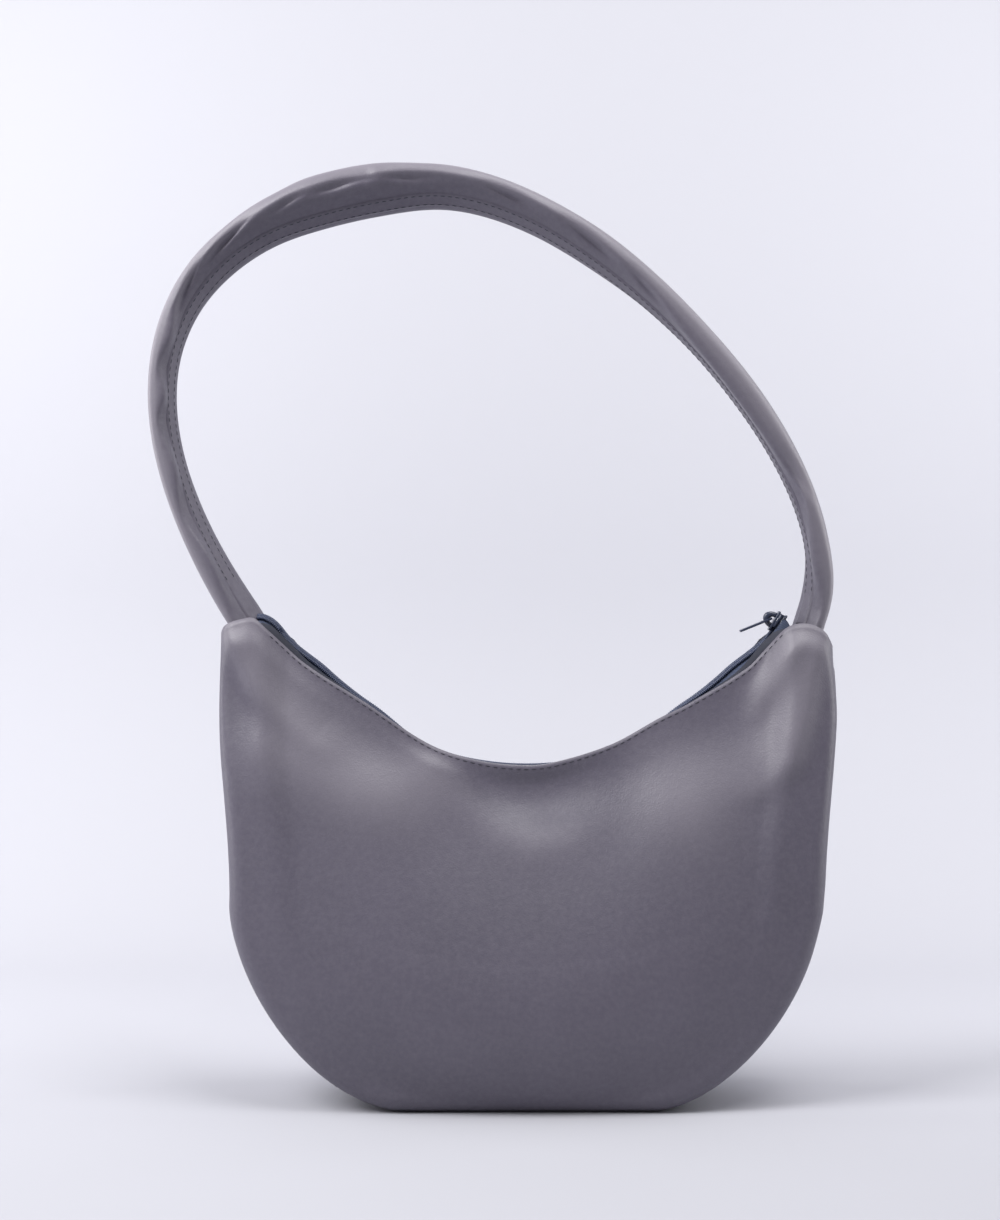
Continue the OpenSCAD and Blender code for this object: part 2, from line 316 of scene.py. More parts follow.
def back_edge(x):
    corner_dip = BACK_DIP * smooth((abs(x) - DIP_FROM) / DIP_EASE)
    return min(CORNER_HEIGHT - BACK_DROP - corner_dip, zip_height(x) - BACK_TUCK)


def side_full(u, v):
    """The left side bulges low, the right side further up."""
    left = LEFT_FULL * plateau(v, *LEFT_SPAN)
    right = RIGHT_FULL * plateau(v, *RIGHT_SPAN)
    return left + (right - left) * smooth((u + 1) / 2)


def side_x(u, v, inset):
    """Half width at share v of the height: the lower half is a bend, the upper half nearly straight."""
    full = side_full(u, v)
    if v > 0.5:
        spread = smooth(SHOULDER_PACE * (v - 0.5))
        return WAIST_HALF + (HALF_WIDTH - WAIST_HALF) * spread + full - inset
    turn = math.sin(math.pi * v)
    return BASE_HALF + (WAIST_HALF - BASE_HALF) * turn ** BEND_POWER + full - inset * turn


def side_z(v, inset):
    """Height of the side there."""
    if v > 0.5:
        return BEND_HEIGHT + (CORNER_HEIGHT - BEND_HEIGHT) * (2 * v - 1)
    turn = max(0.0, math.cos(math.pi * v))
    return BEND_HEIGHT * (1 - turn ** BEND_POWER) + inset * turn


def below_lip(rise):
    """Share of the way up to the lip of the mouth, easing to 1 on the lip itself."""
    share = rise / LIP_START
    return max(0.0, 0.5 * (share + 1 - math.sqrt((share - 1) ** 2 + LIP_EASE ** 2)))


def half_depth(u, v):
    """Half the bag's depth: wide at the base, swelling above it and closing to the mouth."""
    rise = (side_z(v, 0) / CORNER_HEIGHT) ** RISE_POWER
    share = below_lip(rise)
    taper = share ** TAPER_POWER
    mouth = MOUTH_HALF + (CORNER_HALF - MOUTH_HALF) * smooth((abs(u) - CORNER_FROM) / CORNER_EASE)
    crown = (1 - u * u) * SWELL * math.sin(math.pi * share ** SWELL_POWER)
    ramp = (1 - u * u) * BASE_SLOPE * side_z(v, 0)
    crown = (crown + ramp - math.hypot(crown - ramp, SWELL_SOFT * crown)) / 2
    return (1 - taper) * BOTTOM_HALF + taper * mouth + crown


def panel_point(u, v, inset, edge):
    """A point of the front panel, moved in from the outside of the bag by inset."""
    climb = (side_z(v, inset) - inset) * (edge - inset) / (CORNER_HEIGHT - inset)
    return Vector((u * side_x(u, v, inset), inset - half_depth(u, v), inset + climb))


# Folds of the front: a path of places, the height, and how far its flanks reach right and left
FRONT_FOLDS = (
    (((-174, 280), (-168, 264), (-159, 249), (-145, 233), (-127, 216), (-108, 203)), 5.5, 9, 24),
    (((-178, 256), (-174, 236), (-168, 212), (-158, 186)), -2.5, 13, 13),
    (((-150, 210), (-122, 198), (-96, 188), (-66, 180), (-40, 170)), 4.5, 22, 22),
    (((159, 276), (149, 257), (139, 240), (132, 222)), 3.0, 7, 7),
    (((172, 276), (166, 252), (161, 228), (154, 206), (138, 190), (112, 178)), 5.5, 24, 9),
    (((-56, 196), (-33, 176), (-14, 162), (3, 156), (20, 159), (40, 171), (66, 195)), 3.4, 15, 15),
)
FOLD_HOLD = 0.4
FADE_LEAD = 0.1
NO_GAP = 0.001
HOLLOW_PLACE = (4, 184)
HOLLOW_REACH = (44, 24)
HOLLOW_DEPTH = 4
SHOULDERS = ((92, 180, 5), (-84, 186, 2))
SHOULDER_REACH = 30


def fold(x, z, path, height, right, left):
    """How far a fold lifts the leather at a place. Its flanks reach right and left of its path."""
    lift = 0
    for k in range(len(path) - 1):
        (x0, z0), (x1, z1) = path[k], path[k + 1]
        length = math.hypot(x1 - x0, z1 - z0)
        along = ((x - x0) * (x1 - x0) + (z - z0) * (z1 - z0)) / length
        aside = ((x1 - x0) * (z - z0) - (z1 - z0) * (x - x0)) / length
        t = min(1.0, max(0.0, along / length))
        gap = max(NO_GAP, math.hypot(along - t * length, aside))
        reach = right + (left - right) * smooth((1 + aside / gap) / 2)
        share = (k + t) / (len(path) - 1)
        fade = 1
        if share > FOLD_HOLD:
            fade = math.sin(math.pi * (FADE_LEAD + (1 - FADE_LEAD) * share))
        lift = max(lift, fade * math.exp(-(gap / reach) ** 2))
    return height * lift


def front_sculpt(x, z):
    """Folds, the hollow under the mouth and the two soft shoulders beside it."""
    lift = sum(fold(x, z, *entry) for entry in FRONT_FOLDS)
    across = (x - HOLLOW_PLACE[0]) / HOLLOW_REACH[0]
    climb = (z - HOLLOW_PLACE[1]) / HOLLOW_REACH[1]
    lift -= HOLLOW_DEPTH * math.exp(-(across ** 2 + climb ** 2))
    for place_x, place_z, height in SHOULDERS:
        away = ((x - place_x) ** 2 + (z - place_z) ** 2) / SHOULDER_REACH ** 2
        lift += height * math.exp(-away)
    return lift


BACK_FOLDS = (
    (((-163, 272), (-150, 250), (-133, 232), (-108, 214)), 4, 10, 10),
    (((164, 272), (154, 248), (138, 228), (114, 210)), 4, 10, 10),
    (((-60, 192), (-30, 174), (0, 168), (32, 175), (62, 193)), 3.5, 16, 16),
    (((-172, 255), (-166, 225), (-154, 195)), -3, 11, 11),
    (((172, 255), (166, 225), (154, 195)), -3, 11, 11),
)


def back_sculpt(x, z):
    return sum(fold(x, z, *entry) for entry in BACK_FOLDS)


def seam_roll(v):
    """Radius of the panel's turned edge: soft round the base, tighter at the corners."""
    return CORNER_ROLL + (BASE_ROLL - CORNER_ROLL) * (1 - smooth((v - ROLL_FROM) / ROLL_EASE))


def skin_point(u, height_share, edge_of, sculpt):
    """A point of the panel's outer skin with its rolled edge, as seen on the front."""
    side = max(0.0, (abs(u) - ROLL_COLUMNS) / (1 - ROLL_COLUMNS))
    foot = max(0.0, (ROLL_ROWS - height_share) / ROLL_ROWS)
    u_flat = max(-1.0, min(1.0, u / ROLL_COLUMNS))
    v = max(0.0, (height_share - ROLL_ROWS) / (1 - ROLL_ROWS))
    aside = u_flat * side_x(u_flat, v, 0) / BASE_HALF
    lean = math.atan(BASE_SLOPE * max(0.0, 1 - aside ** 2)) * (1 - smooth(v / LEAN_SHARE))
    turn = lean + (ROLL_TURN - lean) * (1 - (1 - side) * (1 - foot))
    roll = seam_roll(v)
    inset = roll * (1 - math.sin(turn))
    top_inset = CORNER_ROLL * (1 - math.sin(turn))
    point = panel_point(u_flat, v, inset, edge_of(u_flat * (HALF_WIDTH - top_inset)))
    point.y += roll * (1 - math.cos(turn)) - inset
    on_skin = math.cos(min(math.pi / 2, turn)) * smooth((1 - v) / LIP_SHARE)
    point.y -= on_skin * sculpt(point.x, point.z)
    return point


def front_place(a, b):
    return skin_point(a, (b + 1) / 2, front_edge, front_sculpt)


def back_place(a, b):
    point = skin_point(-a, (b + 1) / 2, back_edge, back_sculpt)
    return point.x, -point.y, point.z


def panel_grid(place):
    """A panel's skin. Its lower corners are cut out of the grid, and the rolled edges meet there."""
    bm = shaped_grid(PANEL_COLUMNS, PANEL_ROWS, place)
    corners = []
    for k, vert in enumerate(bm.verts):
        row, column = divmod(k, PANEL_COLUMNS + 1)
        if row < ROLL_STEPS and not ROLL_STEPS <= column <= PANEL_COLUMNS - ROLL_STEPS:
            corners.append(vert)
    bmesh.ops.delete(bm, geom=corners, context="VERTS")
    bmesh.ops.remove_doubles(bm, verts=bm.verts, dist=WELD)
    return bm


def leather_finish(name):
    """Smooth satin leather: cloudy dye, fine pores, shallow creases, and crowns painted paler, partly as
    wear and partly as a painted highlight.
    """
    material, tree = new_finish(name)
    place = add_node(tree, "ShaderNodeTexCoord").outputs["Object"]
    clouds = add_node(tree, "ShaderNodeTexNoise", {
        "Vector": place, "Scale": 11, "Detail": 5, "Roughness": 0.55, "Distortion": 0.3})
    specks = add_node(tree, "ShaderNodeTexNoise", {
        "Vector": place, "Scale": 330, "Detail": 3, "Roughness": 0.6})
    spread = add_node(tree, "ShaderNodeMapRange", {
        "Value": clouds.outputs["Fac"], "From Min": 0.3, "From Max": 0.7})
    dye = add_node(tree, "ShaderNodeMix", {
        "Factor": spread.outputs["Result"], "A": LEATHER_DEEP, "B": LEATHER_PALE}, data_type="RGBA")
    fleck = add_node(tree, "ShaderNodeMapRange", {
        "Value": specks.outputs["Fac"], "From Min": 0.35, "From Max": 0.75, "To Max": 0.13})
    flecked = add_node(tree, "ShaderNodeMix", {
        "Factor": fleck.outputs["Result"], "A": dye.outputs["Result"], "B": LEATHER_WORN_AND_HIGHLIT},
        data_type="RGBA")
    # The crown attribute pales the leather: on the panels partly wear and partly a painted highlight, on
    # the strap a painted highlight
    crown = add_node(tree, "ShaderNodeAttribute", attribute_name="crown")
    worn_and_highlit = add_node(tree, "ShaderNodeMix", {
        "Factor": crown.outputs["Fac"], "A": flecked.outputs["Result"], "B": LEATHER_WORN_AND_HIGHLIT},
        data_type="RGBA")
    pores = add_node(tree, "ShaderNodeTexVoronoi", {
        "Vector": place, "Scale": 1150, "Randomness": 1}, feature="SMOOTH_F1")
    creases = add_node(tree, "ShaderNodeTexNoise", {
        "Vector": place, "Scale": 95, "Detail": 4, "Roughness": 0.55, "Distortion": 1.2})
    fine = add_node(tree, "ShaderNodeBump", {
        "Height": pores.outputs["Distance"], "Strength": 0.45, "Distance": 0.0002})
    soft = add_node(tree, "ShaderNodeBump", {
        "Height": creases.outputs["Fac"], "Strength": 0.12, "Distance": 0.0012,
        "Normal": fine.outputs["Normal"]})
    gloss = add_node(tree, "ShaderNodeMapRange", {
        "Value": clouds.outputs["Fac"], "From Min": 0.3, "From Max": 0.7,
        "To Min": 0.5, "To Max": 0.44})
    show(tree, add_node(tree, "ShaderNodeBsdfPrincipled", {
        "Base Color": worn_and_highlit.outputs["Result"], "Roughness": gloss.outputs["Result"],
        "Specular IOR Level": 0.6, "Sheen Weight": 0.06, "Sheen Roughness": 0.45,
        "Normal": soft.outputs["Normal"]}))
    return material


def thicken(piece, depth, rim_slot=0):
    """Gives a skin its thickness, inwards."""
    wall = piece.modifiers.new("thickness", "SOLIDIFY")
    wall.thickness = depth * MM
    wall.offset = -1
    wall.material_offset_rim = rim_slot


def mark_wear_and_painted_highlight(piece, lift_of):
    """Stores how far each point is raised by a fold, which pales the leather there: partly wear on the
    crowns, partly a painted highlight.
    """
    crown = piece.data.attributes["crown"]
    for vert, value in zip(piece.data.vertices, crown.data):
        lift = lift_of(vert.co.x / MM, vert.co.z / MM)
        value.value = min(HIGHLIGHT_AND_WEAR_MOST, max(0.0, HIGHLIGHT_AND_WEAR_PER_MM * lift))


calf_leather = leather_finish("calf_leather")
# The raw cut edge of the leather is paler, matt and fibrous
cut_edge, cut_tree = new_finish("cut_leather_edge")
cut_fibre = pattern(cut_tree, "ShaderNodeTexNoise", {"Scale": 900, "Detail": 4})
two_tone(cut_tree, cut_fibre, CUT_DEEP, CUT_PALE, {"Roughness": 0.75}, bump=(0.5, 0.0003))

front_panel = new_object("front_panel_leather", panel_grid(front_place), calf_leather, cut_edge)
mark_wear_and_painted_highlight(front_panel, front_sculpt)
back_panel = new_object("back_panel_leather", panel_grid(back_place), calf_leather, cut_edge)
mark_wear_and_painted_highlight(back_panel, back_sculpt)
for panel, node in ((front_panel, "front_panel"), (back_panel, "back_panel")):
    thicken(panel, LEATHER, 1)
    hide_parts(node)
    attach(panel, "bag")

# Gusset
# One long strip of the same leather runs down one side, under the base and up the other side.
# Its edges turn in to the seams, its sides bow out a little where the bag is full, and its ends turn
# in to the strap.
GUSSET_GRID = (220, 28)
BASE_SHARE = 0.185
LEFT_BOW, RIGHT_BOW = 3.2, 0.8
BOW_AT, BOW_REACH = 0.42, 0.16
SEAM_DIP, SEAM_FROM, SEAM_EASE = 1.5, 0.86, 0.14
GUSSET_TOP_DROP = 8
GUSSET_TURN, TURN_FROM, TURN_EASE = 7, 0.93, 0.07


def round_gusset(a):
    """Where a place on the strip is: u across the base, and the share of its way up a side."""
    return max(-1.0, min(1.0, a / BASE_SHARE)), max(0.0, (abs(a) - BASE_SHARE) / (1 - BASE_SHARE))


def gusset_place(a, b):
    u, on_side = round_gusset(a)
    full = math.exp(-((on_side - BOW_AT) / BOW_REACH) ** 2)
    inset = SEAM_DIP * smooth((abs(b) - SEAM_FROM) / SEAM_EASE)
    inset -= (LEFT_BOW if a < 0 else RIGHT_BOW) * full * (1 - b * b)
    inset += GUSSET_TURN * smooth((on_side - TURN_FROM) / TURN_EASE)
    point = panel_point(u, on_side, inset, CORNER_HEIGHT - GUSSET_TOP_DROP)
    depth = half_depth(1, on_side) - seam_roll(on_side)
    return point.x, -b * depth, point.z


gusset = new_object("gusset_leather", shaped_grid(*GUSSET_GRID, gusset_place), calf_leather, cut_edge)
thicken(gusset, LEATHER, 1)
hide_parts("gusset")
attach(gusset, "bag")

# Lining
# Plain dark cotton, cut to the same shapes as the leather, sewn together apart from it and hung
# inside the bag from the mouth.
LINING_IN = 9
GUSSET_LINING_IN = 8
LINING_THICK = 0.7
LINING_DROP = 3
NARROW_FROM, NARROW_EASE = 0.86, 0.1
LINING_FLAT = (0.40, 0.33)
GUSSET_FLAT = (0.82, 0.10)
LINING_GRID = (64, 44)
LINING_YARN = {"Scale": 420, "Distortion": 0.4, "Detail": 1}
LINING_DEEP, LINING_PALE = (0.030, 0.032, 0.048, 1), (0.052, 0.055, 0.078, 1)

lining_finish, lining_tree = new_finish("cotton_lining")
warp = pattern(lining_tree, "ShaderNodeTexWave", LINING_YARN, bands_direction="X")
weft = pattern(lining_tree, "ShaderNodeTexWave", LINING_YARN, bands_direction="Z")
weave = add_node(lining_tree, "ShaderNodeMath", {0: warp, 1: weft}, operation="MULTIPLY").outputs["Value"]
two_tone(lining_tree, weave, LINING_DEEP, LINING_PALE, {"Roughness": 0.85}, bump=(0.5, 0.0002))


def lining_point(u, v, top):
    """The lining hangs behind the leather and narrows to the zip at the mouth."""
    point = panel_point(u, v, LINING_IN, top - LINING_DROP)
    point.y += (LEATHER + LINING_THICK - LINING_IN) * smooth((v - NARROW_FROM) / NARROW_EASE)
    return point


def lining_place_front(a, b):
    x = a * HALF_WIDTH
    point = lining_point(a, (b + 1) / 2, min(front_edge(x), zip_height(x)))
    point.y -= min(0.0, front_sculpt(point.x, point.z))
    return point


def lining_place_back(a, b):
    point = lining_point(-a, (b + 1) / 2, back_edge(a * HALF_WIDTH))
    return point.x, -point.y, point.z


def lining_place_gusset(a, b):
    u, on_side = round_gusset(a)
    point = panel_point(u, on_side, GUSSET_LINING_IN, CORNER_HEIGHT - GUSSET_TOP_DROP - LINING_DROP)
    return point.x, -b * (half_depth(1, on_side) - LINING_IN), point.z


for node, place, flat, leather in (
        ("front_lining", lining_place_front, LINING_FLAT, "front_panel_leather"),
        ("back_lining", lining_place_back, LINING_FLAT, "back_panel_leather"),
        ("gusset_lining", lining_place_gusset, GUSSET_FLAT, "gusset_leather")):
    cloth_mesh = shaped_grid(*LINING_GRID, place)
    cloth_area = sum(face.calc_area() for face in cloth_mesh.faces)
    cloth = new_object(node + "_cloth", cloth_mesh, lining_finish)
    thicken(cloth, LINING_THICK)
    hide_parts(node)
    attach(cloth, "bag")

# Zip tapes
# Two narrow bands of slate-blue woven tape carry the halves of the coil. Each is sewn behind the
# leather, and shows between the front edge and the coil where the mouth climbs to the corners.
TAPE_INNER = 1
TAPE_ANGLE = 64.5
TAPE_GRID = (280, 14)
TAPE_THICK = 0.6
TAPE_TUCK = 4
TAPE_FLAT = 2.4
FLAT_SHARE = 0.35
TAPE_BEHIND = 0.4
LEFT_TILT, TILT_FROM, TILT_EASE = 45, 20, 20
RIGHT_TILT = 40
RIGHT_TILT_SPAN = (TILT_FROM, TILT_EASE, 52, 5)
LEFT_BEND, LEFT_KNEE, LEFT_TAIL = 57, (155.5, 289.5), (163.5, 287)
RIGHT_BEND, RIGHT_KNEE, RIGHT_TAIL = 60, (154.8, 289.8), (159, 279)
SMALL_TURN = 0.2
TAPE_DEEP, TAPE_PALE = (0.036, 0.048, 0.092, 1), (0.064, 0.084, 0.155, 1)


def on_zip(angle, y, lift):
    """A place beside the coil: angle along its circle, y across it, lift out of the bag."""
    turn = math.radians(angle)
    radius = ZIP_RADIUS - lift
    return Vector((radius * math.sin(turn), y, ZIP_CENTRE - radius * math.cos(turn)))


def zip_line(angle):
    """The slack zip itself, as x and z: at each end it bends over into the corner."""
    left = angle < 0
    bend = LEFT_BEND if left else RIGHT_BEND
    knee = Vector(LEFT_KNEE if left else RIGHT_KNEE)
    tail = Vector(LEFT_TAIL if left else RIGHT_TAIL)
    on_circle = on_zip(min(abs(angle), bend), 0, 0)
    place = Vector((on_circle.x, on_circle.z + zip_rise(on_circle.x)))
    share = (abs(angle) - bend) / (TAPE_ANGLE - bend)
    if share > 0:
        place = place * (1 - share) ** 2 + knee * 2 * share * (1 - share) + tail * share ** 2
    return Vector((math.copysign(place.x, angle), place.y))


def zip_frame(angle):
    """Place on the zip and its directions: along it, across it to the back, and out of the bag."""
    place = zip_line(angle)
    step = zip_line(angle + SMALL_TURN) - zip_line(angle - SMALL_TURN)
    along = Vector((step.x, 0, step.y)).normalized()
    up = Vector((-along.z, 0, along.x))
    left_tilt = LEFT_TILT * smooth((-angle - TILT_FROM) / TILT_EASE)
    right_tilt = RIGHT_TILT * plateau(angle, *RIGHT_TILT_SPAN)
    tilt = math.radians(left_tilt + right_tilt)
    back = Vector((0, 1, 0))
    return (Vector((place.x, 0, place.y)), along,
            back * math.cos(tilt) + up * math.sin(tilt), up * math.cos(tilt) - back * math.sin(tilt))


def tape_place(a, b, side):
    """side is -1 for the front tape; b runs from the coil to the sewn edge."""
    middle, _, back, _ = zip_frame(a * TAPE_ANGLE)
    share = (b + 1) / 2
    under_coil = middle + side * (TAPE_INNER + TAPE_FLAT * min(1.0, share / FLAT_SHARE)) * back
    edge = front_edge(under_coil.x) if side < 0 else back_edge(under_coil.x)
    sewn_y = side * (MOUTH_HALF - LEATHER - TAPE_BEHIND)
    drop = max(0.0, under_coil.z - edge + TAPE_TUCK)
    fall = max(0.0, (share - FLAT_SHARE) / (1 - FLAT_SHARE))
    across = (sewn_y - under_coil.y) * math.sin(fall * math.pi / 2)
    return under_coil.x, under_coil.y + across, under_coil.z - drop * smooth(fall)


tape_finish, tape_tree = new_finish("woven_zip_tape")
ribs = pattern(tape_tree, "ShaderNodeTexWave", {"Scale": 330, "Distortion": 0.6, "Detail": 1},
               bands_direction="DIAGONAL")
slubs = pattern(tape_tree, "ShaderNodeTexNoise", {"Scale": 700, "Detail": 3})
twill = add_node(tape_tree, "ShaderNodeMath", {0: ribs, 1: slubs}, operation="MULTIPLY").outputs["Value"]
two_tone(tape_tree, twill, TAPE_DEEP, TAPE_PALE, {"Roughness": 0.8, "Sheen Weight": 0.15},
         bump=(0.6, 0.0002))

for side, node in ((-1, "zip_tape_front"), (1, "zip_tape_back")):
    tape_mesh = shaped_grid(*TAPE_GRID, lambda a, b: tape_place(a, b, side))
    if side < 0:
        bmesh.ops.reverse_faces(tape_mesh, faces=tape_mesh.faces)
    tape = new_object(node + "_weave", tape_mesh, tape_finish)
    thicken(tape, TAPE_THICK)
    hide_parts(node)
    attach(tape, "bag")

# Zip coil
# A nylon thread wound in a spiral round a cord is sewn along each tape. Its turns make rounded
# teeth, which lock into those of the other half, a half step further on.
COIL_FROM = -63.5
COIL_TO = 59.5
TOOTH_STEP = 1.2
TOOTH_OUTER = 2.3
TOOTH_INNER = 0.75
TOOTH_HIGH = 2.1
TOOTH_WIDE = 0.55
CORD = 0.8
CORD_GRID = (240, 8)
NYLON_DEEP, NYLON_PALE = (0.028, 0.036, 0.075, 1), (0.055, 0.070, 0.135, 1)


def stretched(place, along, across, up):
    """Matrix that stretches a unit shape along three directions and puts it in its place."""
    columns = Matrix((along, across, up)).transposed().to_4x4()
    return Matrix.Translation(Vector(place) * MM) @ Matrix.Scale(MM, 4) @ columns


def bead(around, rings):
    """A small ball of unit radius, to be copied many times."""
    bm = bmesh.new()
    bmesh.ops.create_uvsphere(bm, u_segments=around, v_segments=rings, radius=1)
    mesh = bpy.data.meshes.new("bead")
    bm.to_mesh(mesh)
    bm.free()
    return mesh


def add_copy(bm, shape, matrix):
    """Adds a copy of a small mesh to a larger one."""
    copy = shape.copy()
    copy.transform(matrix)
    bm.from_mesh(copy)
    bpy.data.meshes.remove(copy)


def tube(stations, around, place, pale=None):
    """A closed tube: the grid's two long edges are joined and its ends filled."""
    bm = shaped_grid(stations, around, place, pale)
    bmesh.ops.remove_doubles(bm, verts=bm.verts, dist=WELD)
    bmesh.ops.holes_fill(bm, edges=[edge for edge in bm.edges if edge.is_boundary])
    bmesh.ops.recalc_face_normals(bm, faces=bm.faces)
    return bm


def cord_place(a, b, side):
    """The cord inside the spiral."""
    middle, _, back, up = zip_frame((COIL_FROM + COIL_TO + a * (COIL_TO - COIL_FROM)) / 2)
    turn = math.pi * b
    return (middle + (side * (TOOTH_OUTER - TOOTH_INNER) / 2 + CORD * math.cos(turn)) * back
            + (TOOTH_HIGH / 2 + CORD * math.sin(turn)) * up)


nylon_finish, nylon_tree = new_finish("dyed_nylon")
nylon_cloud = pattern(nylon_tree, "ShaderNodeTexNoise", {"Scale": 500, "Detail": 2})
two_tone(nylon_tree, nylon_cloud, NYLON_DEEP, NYLON_PALE, {"Roughness": 0.38})

tooth = bead(6, 6)
tooth_angle = math.degrees(TOOTH_STEP / ZIP_RADIUS)
for side, node in ((-1, "zip_coil_front"), (1, "zip_coil_back")):
    coil_mesh = tube(*CORD_GRID, lambda a, b: cord_place(a, b, side))
    reach = (TOOTH_OUTER + TOOTH_INNER) / 2
    angle = COIL_FROM + (0.5 * tooth_angle if side > 0 else 0)
    while angle < COIL_TO:
        middle, along, back, up = zip_frame(angle)
        middle += side * (TOOTH_OUTER - TOOTH_INNER) / 2 * back + TOOTH_HIGH / 2 * up
        add_copy(coil_mesh, tooth, stretched(
            middle, TOOTH_WIDE * along, -TOOTH_HIGH / 2 * up, reach * back))
        angle += tooth_angle
    coil = new_object(node + "_teeth", coil_mesh, nylon_finish)
    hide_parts(node)
    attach(coil, "bag")

# Stitching of the mouth
# One row of dark thread runs just below each edge of the mouth, between the corners, and holds
# leather, tape and lining.
THREAD = 0.65
MOUTH_PITCH = 4.6
MOUTH_STITCH = 3.0
MOUTH_ROW_DROP = 2.3
MOUTH_REACH = 0.785
ROW_STEPS = 700
STEP_ALONG, STEP_DOWN = 0.001, 0.01
THREAD_DEEP, THREAD_PALE = (0.018, 0.018, 0.028, 1), (0.05, 0.05, 0.068, 1)

stitch = bead(6, 5)


def sew(bm, path, outward, pitch, length, thread):
    """Lays stitches along a path of points that has an outward direction at each point."""
    due = pitch / 2
    for k in range(len(path) - 1):
        step = path[k + 1] - path[k]
        while due <= step.length:
            way = step.normalized()
            across = way.cross(outward[k]).normalized()
            place = path[k] + way * due
            add_copy(bm, stitch, stretched(
                place, across * thread / 2, outward[k] * thread / 2, way * length / 2))
            due += pitch
        due -= step.length


def surface_row(place, reach, b_of):
    """Points along a surface with the surface's outward direction at each."""
    path, outward = [], []
    for k in range(ROW_STEPS + 1):
        a = reach * (2 * k / ROW_STEPS - 1)
        b = b_of(a)
        here = Vector(place(a, b))
        along = Vector(place(a + STEP_ALONG, b)) - Vector(place(a - STEP_ALONG, b))
        climb = here - Vector(place(a, b - STEP_DOWN))
        path.append(here)
        outward.append(along.cross(climb).normalized())
    return path, outward


thread_finish, thread_tree = new_finish("dark_thread")
strands = pattern(thread_tree, "ShaderNodeTexWave", {"Scale": 900, "Distortion": 0.5},
                  bands_direction="DIAGONAL")
two_tone(thread_tree, strands, THREAD_DEEP, THREAD_PALE, {"Roughness": 0.6})

mouth_thread = bmesh.new()
slope = 2 * (CORNER_HEIGHT - BEND_HEIGHT) / CORNER_HEIGHT / (1 - ROLL_ROWS)
for place, edge_of in ((front_place, front_edge), (back_place, back_edge)):
    row, outward = surface_row(
        place, MOUTH_REACH, lambda a: 1 - 2 * MOUTH_ROW_DROP / (slope * edge_of(a * HALF_WIDTH)))
    sew(mouth_thread, row, outward, MOUTH_PITCH, MOUTH_STITCH, THREAD)
mouth_stitches = new_object("mouth_stitches", mouth_thread, thread_finish)
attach(mouth_stitches, "bag")

# Strap
# A wide band of leather is folded round a soft filler and closed along its inner face, so that it
# is puffed and creased in its middle and flat at its ends, which are sewn into the two corners.
ROOT_HALF = 0.945 * HALF_WIDTH
ROOT_HEIGHT = CORNER_HEIGHT + 6
STRAP_RISE = 254
STRAP_LEAN = 0.34
LEFT_SWING, LEFT_CLIMB = 0.65, 0.68
RIGHT_SWING, RIGHT_CLIMB = 0.16, 0.345
TOP_EASE_LEFT, TOP_EASE_RIGHT = 0.67, 0.6
STRAP_HALF, STRAP_END_HALF = 18, 12.5
STRAP_DOME, STRAP_END_DOME = 11.5, 6.25
STRAP_FLAT = 0.75
FULL_POWER, END_POWER = 0.77, 0.96
FLAT_POWER = 0.5
SEWN_SHARE = 0.05
SEWN_DEPTH = 18
CORE_SHARE, CORE_GAP = 0.94, 0.3
STRAP_STATIONS = 440
STRAP_AROUND = 72
STRAP_STEP = 0.01
CORE_GRID = (120, 24)
FELT_DEEP, FELT_PALE = (0.42, 0.39, 0.33, 1), (0.62, 0.59, 0.52, 1)

# Turn of the strap about its own line, and how full it is, by share of its run from the left root (0)
# over the top (1) to the right root (2)
STRAP_ROLL = (
    (0, 36), (0.1, 28), (0.2, 22), (0.33, 20), (0.45, 24), (0.6, 33), (0.8, 38), (0.95, 37), (1.05, 34),
    (1.3, 24), (1.4, 14), (1.5, 6), (1.84, 6), (1.95, 22), (2, 25),
)
STRAP_FULL = (
    (0, 0.15), (0.1, 0.05), (0.33, 0.08), (0.45, 0.2), (0.6, 0.42), (0.69, 0.58), (0.8, 0.92), (0.9, 0.9),
    (1, 0.58), (1.2, 0.43), (1.3, 0.48), (1.5, 0.4), (1.62, 0.38), (1.84, 0.15), (2, 0.1),
)


def bezier(a, b, c, d, t):
    return (Vector(a) * (1 - t) ** 3 + Vector(b) * 3 * t * (1 - t) ** 2
            + Vector(c) * 3 * t * t * (1 - t) + Vector(d) * t ** 3)


def strap_line(q):
    """Middle of the strap, as x and z: straight inside a corner, then one curve on each side."""
    if q <= 0:
        way = Vector((-LEFT_SWING * ROOT_HALF, LEFT_CLIMB * STRAP_RISE)).normalized()
        return Vector((-ROOT_HALF, ROOT_HEIGHT)) + way * (q / SEWN_SHARE * SEWN_DEPTH)
    if q >= 2:
        way = Vector((-RIGHT_SWING * ROOT_HALF, -RIGHT_CLIMB * STRAP_RISE)).normalized()
        return Vector((ROOT_HALF, ROOT_HEIGHT)) + way * ((q - 2) / SEWN_SHARE * SEWN_DEPTH)
    if q <= 1:
        share = bezier((-1, 0), (-1 - LEFT_SWING, LEFT_CLIMB), (-STRAP_LEAN - TOP_EASE_LEFT, 1),
                       (-STRAP_LEAN, 1), q)
    else:
        share = bezier((-STRAP_LEAN, 1), (TOP_EASE_RIGHT - STRAP_LEAN, 1),
                       (1 + RIGHT_SWING, RIGHT_CLIMB), (1, 0), q - 1)
    return Vector((share.x * ROOT_HALF, ROOT_HEIGHT + share.y * STRAP_RISE))


@cache
def along_run(table, q):
    return curve_height(table, min(2.0, max(0.0, q)))


